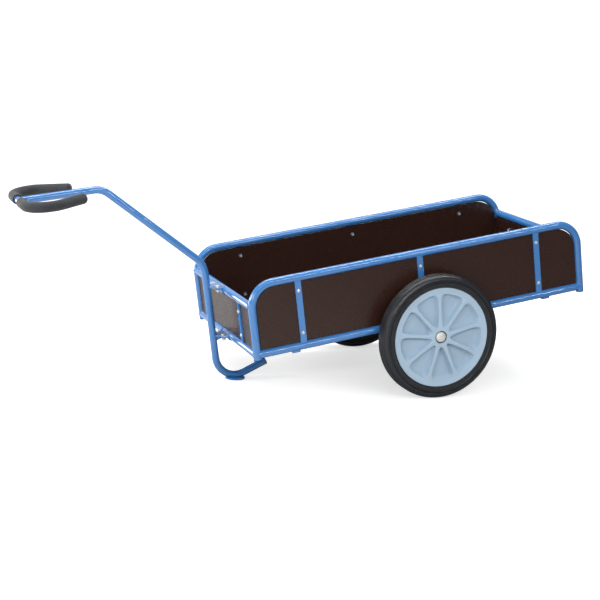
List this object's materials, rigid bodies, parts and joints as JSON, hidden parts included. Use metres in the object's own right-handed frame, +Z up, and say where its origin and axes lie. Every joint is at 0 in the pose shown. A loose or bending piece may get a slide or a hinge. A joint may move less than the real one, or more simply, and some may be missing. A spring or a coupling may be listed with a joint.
{
  "type": "two-wheeled hand cart",
  "caption": "Low two-wheeled hand cart: tubular steel bed with plywood walls, a curved drawbar with a horseshoe handle and a foot plate, and solid-tyred wheels on a fixed axle.",
  "frame": {"origin": "on the ground under the middle of the cart's length and width", "axes": "+X from the handle towards the rear end of the bed, +Y from the left side to the right seen from above with the handle to the left, +Z up; the cart stands on its wheels and foot plate"},
  "size_m": [1.835, 0.724, 0.6351],
  "materials": {
    "blue_paint": "glossy powder coat",
    "plywood": "dark phenolic film on both faces, bare brown edges",
    "tyre": "matt black rubber",
    "rim_plastic": "satin blue-grey plastic",
    "foam": "charcoal foam",
    "black_plastic": "satin black plastic",
    "zinc": "bright zinc plate",
    "hub_cap": "bright pressed steel"
  },
  "bodies": {
    "cart": {"side_hoop_left": "blue_paint", "side_hoop_right": "blue_paint", "side_bottom_rail_left": "blue_paint", "side_bottom_rail_right": "blue_paint", "front_upper_rail": "blue_paint", "front_lower_rail": "blue_paint", "rear_upper_rail": "blue_paint", "rear_lower_rail": "blue_paint", "side_strap_left_front": "blue_paint", "side_strap_left_middle": "blue_paint", "side_strap_left_rear": "blue_paint", "side_strap_right_front": "blue_paint", "side_strap_right_middle": "blue_paint", "side_strap_right_rear": "blue_paint", "end_strap_front_left": "blue_paint", "end_strap_front_right": "blue_paint", "end_strap_rear_left": "blue_paint", "end_strap_rear_right": "blue_paint", "floor_cross_member_front": "blue_paint", "floor_cross_member_rear": "blue_paint", "axle_bracket_left": "blue_paint", "axle_bracket_right": "blue_paint", "side_panel_left": "plywood", "side_panel_right": "plywood", "front_panel": "plywood", "rear_panel": "plywood", "floor_panel": "plywood", "drawbar_tube": "blue_paint", "drawbar_plug": "black_plastic", "handle_bow": "blue_paint", "grip_left": "foam", "grip_right": "foam", "foot_plate": "blue_paint", "upper_drawbar_bracket": "blue_paint", "lower_drawbar_bracket": "blue_paint", "upper_rail_lug": "blue_paint", "lower_rail_lug": "blue_paint", "drawbar_bolts": "zinc", "drawbar_nuts": "zinc", "axle": "zinc", "axle_spacer_left": "zinc", "axle_spacer_right": "zinc", "hub_washers": "black_plastic", "axle_cap_left": "hub_cap", "axle_cap_right": "hub_cap", "hoop_plugs": "black_plastic", "panel_bolts_left": "zinc", "panel_bolts_right": "zinc", "panel_bolts_front": "zinc", "panel_bolts_rear": "zinc", "panel_nuts_left": "zinc", "panel_nuts_right": "zinc", "panel_nuts_front": "zinc", "panel_nuts_rear": "zinc"},
    "wheel_left": {"tyre_left": "tyre", "rim_left": "rim_plastic"},
    "wheel_right": {"tyre_right": "tyre", "rim_right": "rim_plastic"}
  },
  "joints": [
    {"name": "wheel_left_spin", "type": "hinge", "parent": "cart", "child": "wheel_left", "pos_m": [0.37001, -0.332, 0.2], "axis": [0, 1, 0], "continuous": true},
    {"name": "wheel_right_spin", "type": "hinge", "parent": "cart", "child": "wheel_right", "pos_m": [0.37001, 0.332, 0.2], "axis": [0, 1, 0], "continuous": true}
  ]
}
